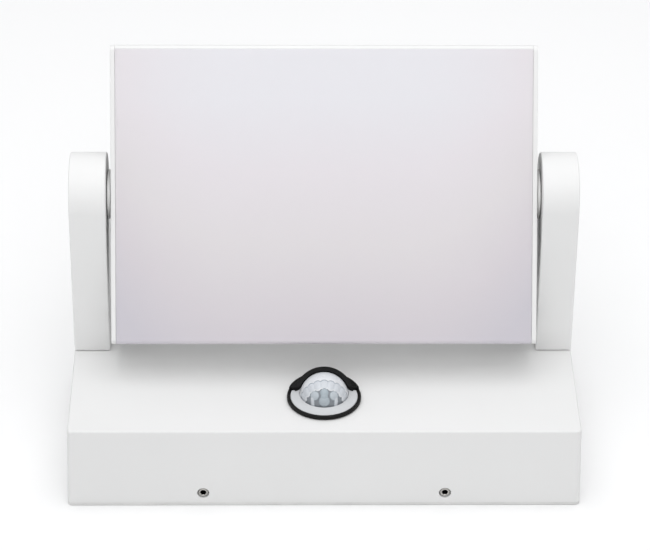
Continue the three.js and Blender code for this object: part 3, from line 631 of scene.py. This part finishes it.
def build_washers():
    for name, side in SIDES.items():
        x0, x1 = WASHER_LOW.x, WASHER_HIGH.x
        bore, outer, edge, step = 9 * MM, 11.7 * MM, 0.2 * MM, 0.55 * MM
        section = [(bore, x0), (outer - 0.5 * MM, x0), (outer - 0.5 * MM, x0 + step),
                   (outer, x0 + step), (outer, x1 - 2 * edge), (outer - edge, x1 - edge),
                   (outer - 1 * MM, x1 - edge), (outer - 1.2 * MM, x1), (bore, x1)]
        washer = turned(name + "_pivot_disc", [(r, side * x) for r, x in section],
                        Vector((0, PIVOT.y, PIVOT.z)), "X", 96)
        finished(washer, WHITE_PLASTIC, "base", [name + "_friction_washer"])


# ---------------------------------------------------------------- lamp head
HEAD_PLACE = Matrix.Translation(PIVOT) @ Matrix.Rotation(-HEAD_TILT, 4, "X")
CAP_IN, CAP_OUT = CAP_LOW.x, CAP_HIGH.x
LENGTH = CAP_IN - SEAM
UPPER, LOWER = HEAD_HEIGHT / 2, -HEAD_HEIGHT / 2
FACE_Y, REAR_Y = -HEAD_THICK / 2, HEAD_THICK / 2
LIP = 1.6 * MM
CORNER = 2.5 * MM
PORT_Y, PORT_Z = 6.4 * MM, 60 * MM                 # screw ports
SHELF_BACK, SHELF_FRONT, SHELF_DROP = -0.6 * MM, -2.6 * MM, 4 * MM    # ribs inside the long walls


def build_head_housing():
    """The extrusion's section in one outline: lips, shelves, back wall and cooling ribs."""
    fins, rib, depth = 13, 2.2 * MM, 3 * MM
    pitch = (HEAD_HEIGHT - 2 * CORNER - rib) / (fins - 1)
    back = []
    for i in range(fins - 1):
        start = LOWER + CORNER + rib + i * pitch
        end = start + pitch - rib
        root_y = REAR_Y - depth
        back += [(REAR_Y - 0.3 * MM, start - 0.3 * MM), (REAR_Y - 0.6 * MM, start)]
        back += [(root_y + 0.6 * MM, start), (root_y, start + 0.6 * MM)]
        back += [(root_y, end - 0.6 * MM), (root_y + 0.6 * MM, end)]
        back += [(REAR_Y - 0.6 * MM, end), (REAR_Y - 0.3 * MM, end + 0.3 * MM)]
    lower = arc((REAR_Y - CORNER, LOWER + CORNER), CORNER, -90, 0, 8)
    upper = arc((REAR_Y - CORNER, UPPER - CORNER), CORNER, 0, 90, 8)
    front = FACE_Y + GAP
    nose_end = 180 - math.degrees(math.asin((CORNER - LIP) / CORNER))
    ceiling, ground = UPPER - LIP, LOWER + LIP
    inside = arc((front + CORNER, UPPER - CORNER), CORNER, 90, nose_end, 8) + [
        (SHELF_FRONT, ceiling), (SHELF_FRONT, ceiling - SHELF_DROP), (SHELF_BACK, ceiling - SHELF_DROP),
        (SHELF_BACK, ceiling), (6.5 * MM, ceiling), (6.5 * MM, ground),
        (SHELF_BACK, ground), (SHELF_BACK, ground + SHELF_DROP), (SHELF_FRONT, ground + SHELF_DROP),
        (SHELF_FRONT, ground), (FACE_Y + 4 * MM, ground), (FACE_Y + 4 * MM, LOWER),
    ]
    body = prism_x("head_extrusion", lower + back + upper + inside, -LENGTH, LENGTH)
    ports = [
        rod("port", 3.2 * MM, (-LENGTH, PORT_Y, way * PORT_Z), (LENGTH, PORT_Y, way * PORT_Z), 32)
        for way in (-1, 1)
    ]
    combine(body, ports, "UNION")
    cutters = []
    for side in (-1, 1):
        end = side * (LENGTH + 2 * MM)
        cutters.append(rod("pocket", 8.6 * MM, (side * (LENGTH - 4 * MM), 0, 0), (end, 0, 0), 64))
        for way in (-1, 1):
            cutters.append(rod("hole", 1.8 * MM, (side * (LENGTH - 13 * MM), PORT_Y, way * PORT_Z),
                               (end, PORT_Y, way * PORT_Z), 24))
    combine(body, cutters)
    body.data.transform(HEAD_PLACE)
    finished(body, POWDER, "lamp_head", ["head_housing"], 28)


def build_end_caps():
    for name, side in SIDES.items():
        outline = rounded_box(HEAD_THICK, HEAD_HEIGHT, CORNER, 12)
        cap = prism_x(name + "_head_cap", outline, side * CAP_IN, side * CAP_OUT)
        rounded_over(cap, 0.3 * MM, 4, 50)
        near, far = side * NEAR, side * 110 * MM
        cutters = [rod("bore", 6.3 * MM, (near, 0, 0), (far, 0, 0), 64)]
        for way in (-1, 1):
            at = (PORT_Y, way * PORT_Z)
            cutters.append(rod("hole", 1.8 * MM, (near, *at), (far, *at), 24))
            cutters.append(rod("sink", 3.2 * MM, (side * (CAP_OUT - 1.3 * MM), *at), (far, *at), 40))
        combine(cap, cutters)
        rounded_over(cap, 0.12 * MM, 2, 62)
        cap.data.transform(HEAD_PLACE)
        finished(cap, POWDER, "lamp_head", [name + "_end_cap"])
        for i, way in enumerate((1, -1), 1):
            top = Vector((side * (CAP_OUT - 0.2 * MM), PORT_Y, way * PORT_Z))
            build_cross_screw(f"{name}_cap_cross_screw_{i}", top, -side, 10.8 * MM, "lamp_head",
                              f"{name}_cap_screw_{i}", 0.8 * MM, way * 0.5, HEAD_PLACE)


def build_diffuser():
    """Opal cover: flat face, upper edge stopping at the lip, lower edge rolled under."""
    front, back, wall, roll = FACE_Y, -4.1 * MM, 2 * MM, 1.8 * MM
    high, low = UPPER - LIP - SEAM, LOWER
    shelf = low + LIP + GAP
    outline = [(back, high)]
    outline += arc((front + 0.3 * MM, high - 0.3 * MM), 0.3 * MM, 90, 180, 4)
    outline += arc((front + roll, low + roll), roll, 180, 270, 14)
    outline += [(front + 3.4 * MM, low), (front + 3.4 * MM, shelf), (back, shelf), (back, shelf + wall),
                (front + wall + 1.5 * MM, shelf + wall), (front + wall, shelf + wall + 1.5 * MM),
                (front + wall, high - wall), (back, high - wall)]
    cover = prism_x("opal_cover", outline, -LENGTH, LENGTH)
    rounded_over(cover, 0.08 * MM, 2, 60)
    cover.data.transform(HEAD_PLACE)
    finished(cover, OPAL, "lamp_head", ["diffuser"])


# ---------------------------------------------------------------- motion sensor
HOOD, HOOD_ROOM = 14.3 * MM, 12.2 * MM             # radii of the hood, outside and inside
HOOD_LEAN = math.radians(36)
BEZEL = 17.5 * MM                                  # radius of the black ring


def ball(name, radius):
    bm = bmesh.new()
    bmesh.ops.create_uvsphere(bm, u_segments=96, v_segments=48, radius=radius)
    bmesh.ops.translate(bm, verts=bm.verts, vec=(SENSOR.x, SENSOR.y, DOME_Z))
    return piece(name, bm)


def build_bezel():
    """Black ring, raised shoulder and the leaning hood over the rear half of the dome."""
    low, high = FACE + GAP, FACE + 2.2 * MM
    outer, inner, sleeve, bore = BEZEL, 16.15 * MM, 13.1 * MM, 12.1 * MM
    section = [(bore, 36 * MM), (sleeve, 36 * MM), (sleeve, low), (outer - 0.2 * MM, low),
               (outer, low + 0.2 * MM), (outer, high - 0.5 * MM), (outer - 0.15 * MM, high - 0.15 * MM),
               (outer - 0.5 * MM, high), (inner + 0.15 * MM, high), (inner, high - 0.15 * MM),
               (inner, low + 0.7 * MM), (bore, low + 0.7 * MM)]
    ring = turned("sensor_hood", section, SENSOR, sides=128)
    hood = ball("hood", HOOD)
    reach = 0.04
    behind = slab_box("behind", (-reach, 0.5 * MM, -reach), (reach, reach, reach))
    behind.data.transform(
        Matrix.Translation((*SENSOR.xy, DOME_Z)) @ Matrix.Rotation(-HOOD_LEAN, 4, "X"))
    above = slab_box("above", (-reach, SENSOR.y + 3.2 * MM, low),
                     (reach, SENSOR.y + reach, FACE + reach))
    combine(hood, [behind, above], "INTERSECT")
    shoulder_top = FACE + 3.6 * MM
    shoulder = rod("shoulder", outer - 0.3 * MM, (*SENSOR.xy, low), (*SENSOR.xy, shoulder_top), 128)
    rear = slab_box("rear", (-reach, SENSOR.y + 4.4 * MM, low - 1 * MM),
                    (reach, SENSOR.y + reach, FACE + reach))
    combine(shoulder, [rear], "INTERSECT")
    rounded_over(shoulder, 0.3 * MM, 3, 60)
    combine(hood, [ball("room", HOOD_ROOM)])
    rounded_over(hood, 0.2 * MM, 2, 60)
    combine(ring, [shoulder, hood], "UNION")
    room = [ball("room", HOOD_ROOM), rod("bore", bore, (*SENSOR.xy, 0.03), (*SENSOR.xy, DOME_Z), 96)]
    combine(ring, room)
    finished(ring, BLACK, "base", ["sensor_bezel"], 30)


def build_flange():
    low, high = FACE + 1.3 * MM, FACE + 2.0 * MM
    inner, outer = DOME - 0.03 * MM, 15.85 * MM
    section = [(inner, low), (outer, low), (outer, high - 0.25 * MM),
               (outer - 0.2 * MM, high - 0.05 * MM), (outer - 0.5 * MM, high),
               (DOME + 3 * MM, high + 0.05 * MM), (DOME + 1.4 * MM, high + 0.4 * MM),
               (DOME + 0.7 * MM, high + 0.8 * MM), (inner, high + 1.3 * MM)]
    ring = turned("sensor_collar", section, SENSOR, sides=128)
    reach = 0.03
    rear = slab_box("rear", (-reach, SENSOR.y + 4.1 * MM, low - 1 * MM),
                    (reach, SENSOR.y + reach, FACE + 10 * MM))
    combine(ring, [rear, ball("room", DOME + 0.02 * MM)])
    finished(ring, FLANGE, "base", ["sensor_flange"])


def aimed(ahead, around):
    """Unit vector at an angle from straight down the wall, turned about that line; degrees."""
    a, r = math.radians(ahead), math.radians(around)
    return Vector((math.sin(a) * math.sin(r), -math.cos(a), math.sin(a) * math.cos(r)))


def degrees_off(d, start, end=None):
    """Angle between a direction and a point, or the line between two points, of the dome."""
    if end is None:
        return math.degrees(d.angle(start))
    along = max(0.0, min(1.0, (d - start).dot(end - start) / (end - start).length_squared))
    return math.degrees(d.angle(start.lerp(end, along)))


# Bulging facets; their tones are painted light and shade of the parts inside, seen through the lens.
LOBES = [
    (aimed(45, 0), None, 10.5, 0.60),
    (aimed(36, 0), None, 9.0, 0.58),
    (aimed(24, 0), None, 13.5, 0.52),
    (aimed(44, -36), None, 11.0, 0.44),
    (aimed(44, 36), None, 11.0, 0.42),
    (aimed(41, -49), aimed(29, -78), 4.8, 0.26),
    (aimed(41, 49), aimed(29, 78), 4.8, 0.26),
]
ROW_CELL, ROW_TOP, ROW_END = 18.0, 79.5, 51.0
GATE = Vector((0, 0.05, 1)).normalized()           # moulding mark near the top of the dome


def lens_relief(d):
    """Depth below the dome's outer radius in mm and tone for one direction from its centre; the tone is painted
    light and shade.
    """
    ahead = math.degrees(math.acos(max(-1.0, min(1.0, -d.y))))
    around = math.degrees(math.atan2(d.x, d.z))
    gate = degrees_off(d, GATE)
    # The moulding mark takes the lightest tone, a painted highlight, in a slightly darker ring.
    if gate < 4.5:
        return 0.0 if gate < 3.5 else 0.12, 0.0
    u = ((around / ROW_CELL + 0.5) % 1.0) * 2 - 1
    top, end = ROW_TOP - 4.5 * u * u, ROW_END + 4.0 * u * u
    if ahead > top:
        return 0.06, 0.10 if ahead > top + 4 else 0.04
    # The grooves between facets take the darkest tone, painted shade.
    depth, tone = 0.55, 0.92
    if ahead > end:
        bulge = (1 - u * u) * math.sin(math.pi * (ahead - end) / (top - end))
        depth, tone = 0.30 - 0.22 * bulge, 0.27
        # A darker line along each row's upper edge, painted shade.
        if top - ahead < 1.8:
            depth, tone = 0.36, 0.52
        # The foot of each facet takes a light tone, a painted highlight.
        elif ahead - end < 4.0:
            tone = 0.08
        # Darker lines along the facets' sides, painted shade.
        elif abs(u) > 0.90:
            tone = 0.36
    best = 0.0
    for start, finish, radius, lobe_painted_tone in LOBES:
        inside = 1 - degrees_off(d, start, finish) / radius
        if inside > best:
            best = inside
            depth = 0.46 - 0.32 * math.sqrt(inside)
            # Painted light and shade of the parts inside, with a darker painted rim at the lobe's edge.
            tone = lobe_painted_tone + (0.16 if inside < 0.12 else 0.0)
    return depth, tone


def build_lens():
    """The dome with its rows of lens facets, and the skirt that goes down into the bezel."""
    around_steps, up_steps = 340, 150
    lowest = -math.radians(8)
    bm = bmesh.new()
    layer = bm.verts.layers.float.new("tone")
    rows = []
    for j in range(up_steps):
        rise = lowest + (math.pi / 2 - lowest) * j / up_steps
        row = []
        for i in range(around_steps):
            a = 2 * math.pi * i / around_steps
            d = Vector((math.cos(rise) * math.sin(a), -math.cos(rise) * math.cos(a), math.sin(rise)))
            depth, tone = lens_relief(d)
            vert = bm.verts.new(Vector((SENSOR.x, SENSOR.y, DOME_Z)) + d * (DOME - depth * MM))
            vert[layer] = tone
            row.append(vert)
        rows.append(row)
    for low, high in zip(rows, rows[1:]):
        for i in range(around_steps):
            j = (i + 1) % around_steps
            bm.faces.new((low[i], low[j], high[j], high[i]))
    pole = bm.verts.new(Vector((SENSOR.x, SENSOR.y, DOME_Z + DOME)))
    for i in range(around_steps):
        bm.faces.new((rows[-1][i], rows[-1][(i + 1) % around_steps], pole))
    def ring_at(radius, z):
        angles = [2 * math.pi * i / around_steps for i in range(around_steps)]
        return [bm.verts.new((SENSOR.x + radius * math.sin(a), SENSOR.y - radius * math.cos(a), z))
                for a in angles]

    previous = rows[0]
    skirt = [(DOME - 0.05 * MM, DOME_Z - 1.2 * MM), (DOME - 0.05 * MM, LENS_LOW.z),
             (DOME - 0.9 * MM, LENS_LOW.z)]
    for radius, z in skirt:
        ring = ring_at(radius, z)
        for i in range(around_steps):
            j = (i + 1) % around_steps
            bm.faces.new((ring[i], ring[j], previous[j], previous[i]))
        previous = ring
    inner_rows = [previous]
    inner_steps, hollow = 13, DOME - 1.3 * MM
    for k in range(inner_steps):
        rise = math.pi / 2 * k / inner_steps
        inner_rows.append(ring_at(hollow * math.cos(rise), DOME_Z + hollow * math.sin(rise)))
    for low, high in zip(inner_rows, inner_rows[1:]):
        for i in range(around_steps):
            j = (i + 1) % around_steps
            bm.faces.new((low[j], low[i], high[i], high[j]))
    crown = bm.verts.new((SENSOR.x, SENSOR.y, DOME_Z + hollow))
    for i in range(around_steps):
        bm.faces.new((inner_rows[-1][(i + 1) % around_steps], inner_rows[-1][i], crown))
    lens = piece("faceted_dome", bm)
    finished(lens, LENS, "base", ["sensor_lens"], 60)


# ---------------------------------------------------------------- studio
def softbox(name, kind, place, power, size):
    data = bpy.data.lights.new(name, kind)
    data.energy = power
    if kind == "AREA":
        data.shape = "SQUARE"
        data.size = size
    else:
        data.angle = size
    light = bpy.data.objects.new(name, data)
    light.location = place
    light.rotation_mode = "QUATERNION"
    light.rotation_quaternion = (Vector((0, 0, 0.07)) - Vector(place)).to_track_quat("-Z", "Y")
    bpy.context.scene.collection.objects.link(light)


ZENITH = 1.16                                      # world strength straight overhead
WALL_LIGHT, WALL_TOP = 0.97, 0.03                  # pale wall past the floor's far edge


def build_studio():
    floor = slab_box("floor", (-3, -3, -0.02), (3, 3, -0.0002))
    paint = Paint("studio_floor", (0.975, 0.975, 0.975), 0.9)
    floor.data.materials.append(paint.mottle(3, 0.004).material)
    world = bpy.data.worlds.new("studio")
    bpy.context.scene.world = world
    world.use_nodes = True
    tree = world.node_tree
    background = tree.nodes["Background"]
    background.inputs["Color"].default_value = (0.985, 0.99, 1.0, 1)
    place = tree.nodes.new("ShaderNodeTexCoord")
    split = tree.nodes.new("ShaderNodeSeparateXYZ")
    sky = tree.nodes.new("ShaderNodeMapRange")        # bright overhead, dim at the horizon
    sky.inputs["To Max"].default_value = ZENITH
    tree.links.new(place.outputs["Generated"], split.inputs["Vector"])
    tree.links.new(split.outputs["Z"], sky.inputs["Value"])
    low = tree.nodes.new("ShaderNodeMath")
    low.operation = "LESS_THAN"
    low.inputs[1].default_value = WALL_TOP
    total = tree.nodes.new("ShaderNodeMath")
    total.operation = "MULTIPLY_ADD"
    total.inputs[1].default_value = WALL_LIGHT
    tree.links.new(split.outputs["Z"], low.inputs[0])
    tree.links.new(low.outputs["Value"], total.inputs[0])
    tree.links.new(sky.outputs["Result"], total.inputs[2])
    tree.links.new(total.outputs["Value"], background.inputs["Strength"])
    softbox("overhead", "AREA", (0.0, -0.10, 0.80), 1.6, 0.7)
    softbox("front_window", "SUN", (0.0, -1.60, 1.80), 0.45, math.radians(40))
    bpy.context.scene.view_settings.view_transform = "Standard"


make_camera()
dress_frame()
build_housing()
build_gasket()
build_set_screws()
build_arms()
build_covers()
build_washers()
build_head_housing()
build_end_caps()
build_diffuser()
build_bezel()
build_flange()
build_lens()
build_studio()
